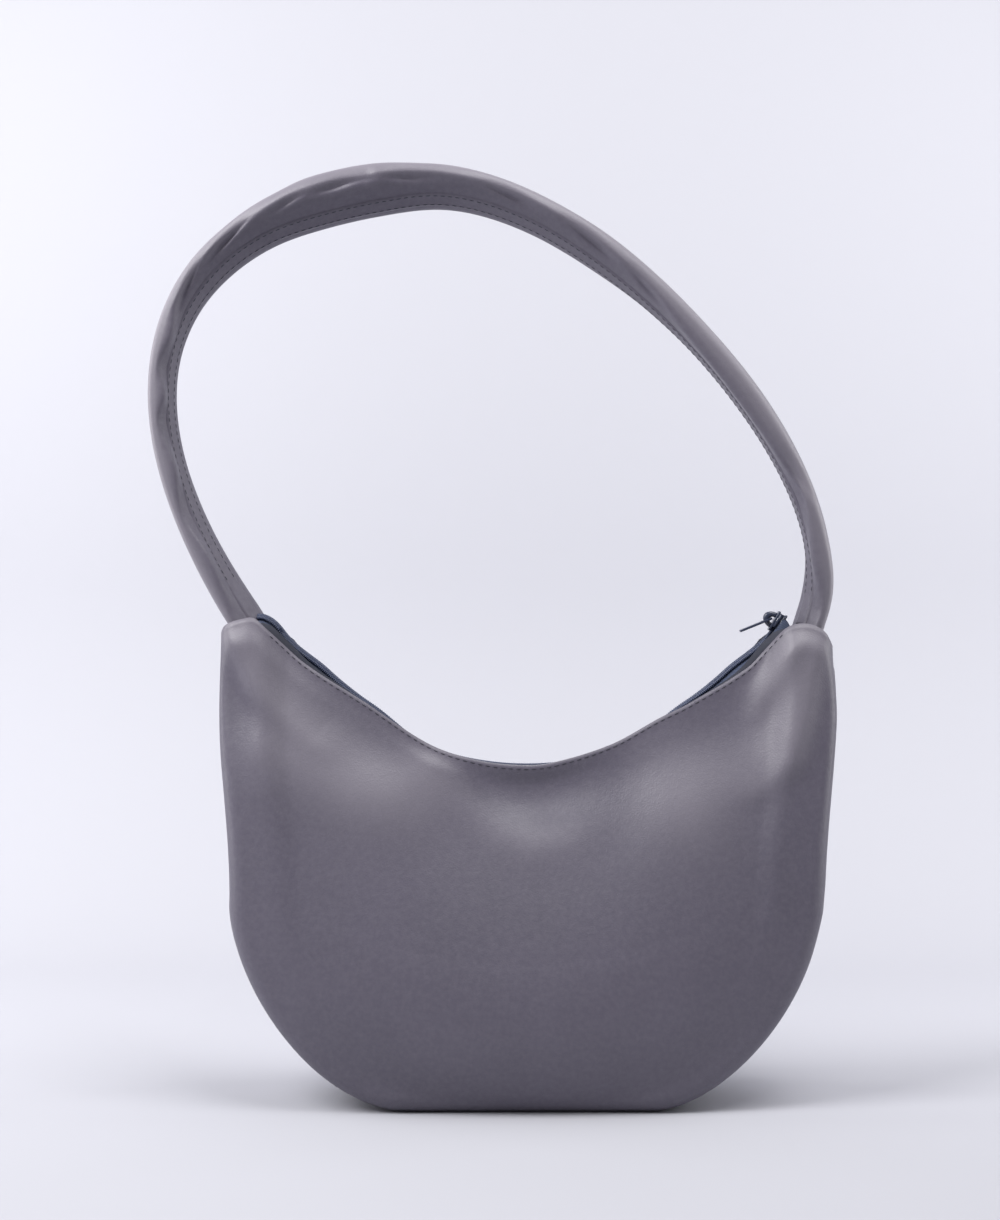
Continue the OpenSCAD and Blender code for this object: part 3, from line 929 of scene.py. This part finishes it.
@cache
def strap_frame(q):
    """Middle of the strap there, and its directions away from the loop and to the back."""
    middle = strap_line(q)
    way = (strap_line(q + STRAP_STEP) - strap_line(q - STRAP_STEP)).normalized()
    roll = math.radians(along_run(STRAP_ROLL, q))
    away = Vector((-way.y, 0, way.x))
    back = Vector((0, 1, 0))
    return (Vector((middle.x, 0, middle.y)),
            away * math.cos(roll) + back * math.sin(roll),
            back * math.cos(roll) - away * math.sin(roll))


@cache
def strap_sizes(q):
    """Half width and the height of the dome there."""
    full = along_run(STRAP_FULL, q)
    return (STRAP_END_HALF + (STRAP_HALF - STRAP_END_HALF) * full,
            STRAP_END_DOME + (STRAP_DOME - STRAP_END_DOME) * full)


def band_section(q, angle, inset):
    """Outline of the band: 0 is its outer crown, 90 its front edge, 180 its inner face."""
    half, dome = strap_sizes(q)
    power = END_POWER + (FULL_POWER - END_POWER) * along_run(STRAP_FULL, q)
    turn = math.radians(angle)
    up, aside = math.cos(turn), math.sin(turn)
    if up >= 0:
        away = (dome - inset) * up ** power
    else:
        away = (inset - STRAP_FLAT * dome) * (-up) ** FLAT_POWER
    back = (inset - half) * math.copysign(abs(aside) ** power, aside)
    return away, back


# Hollows of the sleeve: place along the strap, reach before and after it, angle round the strap,
# reach round it, slant and depth
STRAP_HOLLOWS = (
    (0.497, 0.030, 0.035, 122, 22, -0.0014, 3.0), (0.615, 0.045, 0.035, 122, 22, -0.0014, 4.0),
    (0.745, 0.030, 0.030, 124, 20, -0.0010, 2.4), (0.836, 0.045, 0.035, 122, 23, -0.0004, 3.8),
    (0.893, 0.034, 0.016, 114, 32, 0, 2.2), (0.966, 0.045, 0.050, 124, 23, 0.0004, 3.4),
    (1.147, 0.045, 0.040, 124, 22, 0.0008, 3.8), (1.292, 0.040, 0.035, 124, 22, 0.0008, 3.6),
    (1.393, 0.028, 0.028, 126, 20, 0.0008, 2.2), (1.735, 0.040, 0.030, 100, 28, -0.0008, 2.4),
    (0.62, 0.050, 0.045, 20, 45, 0, 1.2), (0.74, 0.030, 0.030, 20, 45, 0, 0.9),
    (0.84, 0.035, 0.04, 20, 45, 0, 0.8),
)
# How far the sleeve's front edge hangs over the facing, by share of the strap's run
FOLD_HANG = (
    (0, 0), (0.06, 3.6), (0.12, -0.5), (0.18, 3.6), (0.25, -0.5), (0.29, 3), (0.34, -0.5), (0.40, 2.6),
    (0.46, -0.5), (0.7, 0), (1.4, 0), (1.5, 2.4), (1.62, 2.8), (1.70, 1), (1.77, -1.5), (1.82, 0.5),
    (1.90, 3.6), (1.95, 2), (2, -0.5),
)
HANG_ANGLE = 128
HANG_REACH, HANG_REACH_IN = 26, 34
# Painted highlight on the sleeve: its angle round the strap, its reach round it, and how much less of it
# where the strap is full
GLEAM_ANGLE, GLEAM_REACH = 58, 42
GLEAM_LOSS = 0.3
DENT_GAIN = 1.4


def strap_dent(q, angle):
    """How far the sleeve sinks into its hollows."""
    dent = 0
    for place, before, after, round_at, spread, slant, depth in STRAP_HOLLOWS:
        gap = q - place - slant * (angle - round_at)
        off = (gap / (after if gap > 0 else before)) ** 2 + ((angle - round_at) / spread) ** 2
        dent += depth * math.exp(-off)
    return dent


def strap_point(q, angle, inset):
    """A point of the sleeve with its hollows and its hanging fold."""
    middle, away, back = strap_frame(q)
    out, aside = band_section(q, angle, inset)
    half, dome = strap_sizes(q)
    keep = 1 - strap_dent(q, angle) / math.hypot(half, dome) * DENT_GAIN
    reach = HANG_REACH if angle < HANG_ANGLE else HANG_REACH_IN
    hang = along_run(FOLD_HANG, q) * math.exp(-((angle - HANG_ANGLE) / reach) ** 2)
    return middle + away * (out * keep - hang) + back * aside * keep


def along_strap(a):
    return 1 + a * (1 + SEWN_SHARE)


def round_strap(b):
    return 180 + 180 * b


def painted_band_highlight(a, b):
    """Painted highlight: the sleeve is painted paler along its front shoulder, most on the two legs."""
    legs = 1 - GLEAM_LOSS * along_run(STRAP_FULL, along_strap(a))
    return legs * math.exp(-((round_strap(b) - GLEAM_ANGLE) / GLEAM_REACH) ** 2)


def band_place(a, b):
    return strap_point(along_strap(a), round_strap(b), 0)


def core_place(a, b):
    return strap_point(1 + CORE_SHARE * a, round_strap(b), LEATHER + CORE_GAP)


strap_leather = leather_finish("strap_leather")
strap_band = new_object(
    "strap_sleeve", tube(STRAP_STATIONS, STRAP_AROUND, band_place, painted_band_highlight), strap_leather)
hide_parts("strap_band", "strap_end_left", "strap_end_right")
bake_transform(strap_band)

felt_finish, felt_tree = new_finish("felt_filler")
felt_hair = pattern(felt_tree, "ShaderNodeTexNoise", {"Scale": 600, "Detail": 5})
two_tone(felt_tree, felt_hair, FELT_DEEP, FELT_PALE, {"Roughness": 0.95})
strap_core = new_object("strap_filler", tube(*CORE_GRID, core_place), felt_finish)
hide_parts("strap_core")
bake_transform(strap_core)

# Strap facing
# A strip of leather closes the strap along its inner face. Two rows of dark stitching hold it, and
# where the strap is full it lies further to the back.
FACING_HALF = 6
FACING_ACROSS = 16
FACING_LIFT = 0.8
FACING_SINK, SINK_FROM, SINK_EASE = 1.6, 0.7, 0.3
FACING_SHARE = 1.03
FACING_THICK = 1.4
FACING_ASIDE = 6.2
FACING_ROW = 3.5
FACING_PITCH = 4.4
FACING_STITCH = 2.9
FACING_ROW_FROM, FACING_ROW_RUN, FACING_ROW_STEPS = 0.03, 1.94, 600


def facing_point(q, aside):
    middle, away, back = strap_frame(q)
    dome = strap_sizes(q)[1]
    lift = FACING_LIFT - FACING_SINK * smooth((abs(aside) / FACING_HALF - SINK_FROM) / SINK_EASE)
    shift = aside + FACING_ASIDE * along_run(STRAP_FULL, q)
    return middle - away * (STRAP_FLAT * dome + lift) + back * shift


def facing_place(a, b):
    return facing_point(1 + FACING_SHARE * a, -b * FACING_HALF)


facing_mesh = shaped_grid(STRAP_STATIONS, FACING_ACROSS, facing_place)
facing = new_object("strap_facing_strip", facing_mesh, strap_leather)
thicken(facing, FACING_THICK)
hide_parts("strap_facing")
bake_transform(facing)

strap_thread = bmesh.new()
stations = [FACING_ROW_FROM + FACING_ROW_RUN * k / FACING_ROW_STEPS for k in range(FACING_ROW_STEPS + 1)]
for row_side in (-1, 1):
    row = [facing_point(q, row_side * FACING_ROW) for q in stations]
    outward = [-strap_frame(q)[1] for q in stations]
    sew(strap_thread, row, outward, FACING_PITCH, FACING_STITCH, THREAD)
strap_stitches = new_object("strap_stitches", strap_thread, thread_finish)
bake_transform(strap_stitches)

# Zip stops
# Small crimped pieces of enamelled metal at the ends of the coil keep the slider on it.
STOP_ANGLE = 61.5
STOP_ASIDE = 1.7
STOP_LONG, STOP_WIDE, STOP_HIGH = 2.2, 1.6, 2.6
STOP_ROUND = 0.2
ENAMEL_DEEP, ENAMEL_PALE = (0.018, 0.024, 0.052, 1), (0.036, 0.046, 0.088, 1)

enamel_finish, enamel_tree = new_finish("navy_enamel")
enamel_cloud = pattern(enamel_tree, "ShaderNodeTexNoise", {"Scale": 260, "Detail": 4})
enamel_gloss = add_node(enamel_tree, "ShaderNodeMapRange", {
    "Value": enamel_cloud, "From Min": 0.3, "From Max": 0.7, "To Min": 0.24, "To Max": 0.4})
two_tone(enamel_tree, enamel_cloud, ENAMEL_DEEP, ENAMEL_PALE, {
    "Roughness": enamel_gloss.outputs["Result"], "Coat Weight": 0.4, "Coat Roughness": 0.15})
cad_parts["zip_bottom_stop"].data.materials.clear()
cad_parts["zip_bottom_stop"].data.materials.append(enamel_finish)


def bevelled(bm, edges, size, segments):
    """Rounds edges."""
    bmesh.ops.bevel(bm, geom=edges, offset=size, offset_type="OFFSET", segments=segments,
                    profile=0.5, affect="EDGES", material=-1, clamp_overlap=True)


stop_block = bmesh.new()
bmesh.ops.create_cube(stop_block, size=1)
bevelled(stop_block, stop_block.edges[:], STOP_ROUND, 3)
stop_shape = bpy.data.meshes.new("stop_block")
stop_block.to_mesh(stop_shape)
stop_block.free()
stops_mesh = bmesh.new()
middle, along, back, up = zip_frame(STOP_ANGLE)
for side in (-1, 1):
    add_copy(stops_mesh, stop_shape, stretched(
        middle + side * STOP_ASIDE * back + STOP_HIGH / 4 * up,
        STOP_LONG * along, STOP_WIDE * back, STOP_HIGH * up))
top_stops = new_object("zip_top_stop_pair", stops_mesh, enamel_finish)
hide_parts("zip_top_stops")
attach(top_stops, "bag")

# Slider
# Two cast plates joined by a post run over and under the coil. A domed loop on the upper plate
# holds the pull. All of it is enamelled navy.
SLIDER_ANGLE = math.degrees(math.asin(ZIP_END_X / ZIP_RADIUS))
SLIDER_LENGTH = 13
SLIDER_HALF = 4.7
PLATE_UNDER = 2.3
PLATE_THICK = 1.4
UNDER_TOP = -1.0
UNDER_THICK = 1.2
TAIL_SHARE = 0.72
PLATE_ROUND, RIM_ROUND = 1.8, 0.4
RIM_TURN = 1.2
SLOT_HALF = 0.35
POST_PLACE, POST_SIZE = Vector((2.6, 0, 0.65)), Vector((3.6, 1.2, 3.6))
FLANGE_PLACE, FLANGE_IN, FLANGE_OVERLAP = 1, 0.9, 0.2
FLANGE_LENGTH, FLANGE_THICK = 9, 1.1
BAIL_REACH = 3.4
BAIL_HEIGHT = 4.6
BAIL_WIRE = 1.5
BAIL_FLAT = 1.6
BAIL_SINK = 0.2


def turned(place, angle):
    """Matrix that tips a shape by an angle, as seen from the front, and puts it in its place."""
    turn = math.radians(angle)
    way = Vector((math.cos(turn), 0, math.sin(turn)))
    up = Vector((-math.sin(turn), 0, math.cos(turn)))
    return stretched(place, way, Vector((0, 1, 0)), up)


def plate(bm, low, high):
    """A slider plate: narrower at the tail, with rounded corners and edges."""
    made = bmesh.ops.create_cube(bm, size=1)["verts"]
    for vert in made:
        tail = vert.co.x < 0
        vert.co.x *= SLIDER_LENGTH
        vert.co.y *= 2 * SLIDER_HALF * (TAIL_SHARE if tail else 1)
        vert.co.z = high if vert.co.z > 0 else low
    uprights = {edge for vert in made for edge in vert.link_edges
                if edge.verts[0].co.z != edge.verts[1].co.z}
    bevelled(bm, list(uprights), PLATE_ROUND, 5)


slider_set = turned(on_zip(SLIDER_ANGLE, 0, 0), SLIDER_ANGLE)
slider_mesh = bmesh.new()
plate(slider_mesh, PLATE_UNDER, PLATE_UNDER + PLATE_THICK)
plate(slider_mesh, UNDER_TOP - UNDER_THICK, UNDER_TOP)
rims = [edge for edge in slider_mesh.edges if edge.calc_face_angle(0) > RIM_TURN]
bevelled(slider_mesh, rims, RIM_ROUND, 3)
post = bmesh.ops.create_cube(slider_mesh, size=1)["verts"]
for vert in post:
    vert.co = POST_PLACE + vert.co * POST_SIZE
for side in (-1, 1):
    for low, high in ((SLOT_HALF, PLATE_UNDER + FLANGE_OVERLAP), (UNDER_TOP - FLANGE_OVERLAP, -SLOT_HALF)):
        flange = bmesh.ops.create_cube(slider_mesh, size=1)["verts"]
        for vert in flange:
            along = FLANGE_PLACE + FLANGE_LENGTH * vert.co.x
            across = side * (SLIDER_HALF - FLANGE_IN) + FLANGE_THICK * vert.co.y
            vert.co = Vector((along, across, high if vert.co.z > 0 else low))
bmesh.ops.transform(slider_mesh, matrix=slider_set, verts=slider_mesh.verts)
slider_body = new_object("slider_plates", slider_mesh, enamel_finish)
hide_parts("slider_body")
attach(slider_body, "slider")

bail_mesh = bmesh.new()
bmesh.ops.create_circle(bail_mesh, segments=12, radius=BAIL_WIRE, cap_ends=False,
                        matrix=Matrix.Translation((BAIL_REACH, 0, 0)))
for vert in bail_mesh.verts:
    vert.co.y *= BAIL_FLAT / BAIL_WIRE
bmesh.ops.spin(bail_mesh, geom=bail_mesh.verts[:] + bail_mesh.edges[:], cent=(0, 0, 0), axis=(0, -1, 0),
               angle=math.pi, steps=20, use_merge=False)
bmesh.ops.holes_fill(bail_mesh, edges=[edge for edge in bail_mesh.edges if edge.is_boundary])
bmesh.ops.recalc_face_normals(bail_mesh, faces=bail_mesh.faces)
for vert in bail_mesh.verts:
    vert.co.z = vert.co.z * BAIL_HEIGHT / BAIL_REACH + PLATE_UNDER + PLATE_THICK - BAIL_SINK
bmesh.ops.transform(bail_mesh, matrix=slider_set, verts=bail_mesh.verts)
slider_bail = new_object("slider_loop", bail_mesh, enamel_finish)
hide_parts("slider_bail")
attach(slider_bail, "slider")

# Pull
# A thin stamped tab with a rounded tip hangs from the loop by a bar across its window.
BAR_LIFT = 5.4
PULL_DROOP = 22
PULL_COLUMNS = (-20, -12, -5.6, -0.7, 0.7)
PULL_ROWS = (-3.5, -1.7, 1.7, 3.5)
PULL_THICK = 1.4
TIP_ROUND, PULL_RIM_ROUND = 1.75, 0.35
PULL_RIM_TURN = 1.0

pull_mesh = bmesh.new()
columns, rows = len(PULL_COLUMNS) - 1, len(PULL_ROWS) - 1
bmesh.ops.create_grid(pull_mesh, x_segments=columns, y_segments=rows, size=1)
for vert in pull_mesh.verts:
    vert.co.x = PULL_COLUMNS[round((vert.co.x + 1) * columns / 2)]
    vert.co.y = PULL_ROWS[round((vert.co.y + 1) * rows / 2)]
window = [face for face in pull_mesh.faces
          if PULL_COLUMNS[2] < face.calc_center_median().x < PULL_COLUMNS[3]
          and abs(face.calc_center_median().y) < PULL_ROWS[2]]
bmesh.ops.delete(pull_mesh, geom=window, context="FACES")
tips = [vert for vert in pull_mesh.verts
        if vert.co.x == PULL_COLUMNS[0] and abs(vert.co.y) == PULL_ROWS[3]]
bmesh.ops.bevel(pull_mesh, geom=tips, offset=TIP_ROUND, offset_type="OFFSET", segments=5, profile=0.5,
                affect="VERTICES", material=-1, clamp_overlap=True)
bmesh.ops.solidify(pull_mesh, geom=pull_mesh.faces[:], thickness=PULL_THICK)
bmesh.ops.recalc_face_normals(pull_mesh, faces=pull_mesh.faces)
thick_middle = sum(vert.co.z for vert in pull_mesh.verts) / len(pull_mesh.verts)
for vert in pull_mesh.verts:
    vert.co.z -= thick_middle
rims = [edge for edge in pull_mesh.edges if edge.calc_face_angle(0) > PULL_RIM_TURN]
bevelled(pull_mesh, rims, PULL_RIM_ROUND, 3)
pull_set = turned(on_zip(SLIDER_ANGLE, 0, BAR_LIFT), PULL_DROOP)
bmesh.ops.transform(pull_mesh, matrix=pull_set, verts=pull_mesh.verts)
pull = new_object("pull_plate", pull_mesh, enamel_finish)
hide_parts("pull_tab")
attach(pull, "pull")
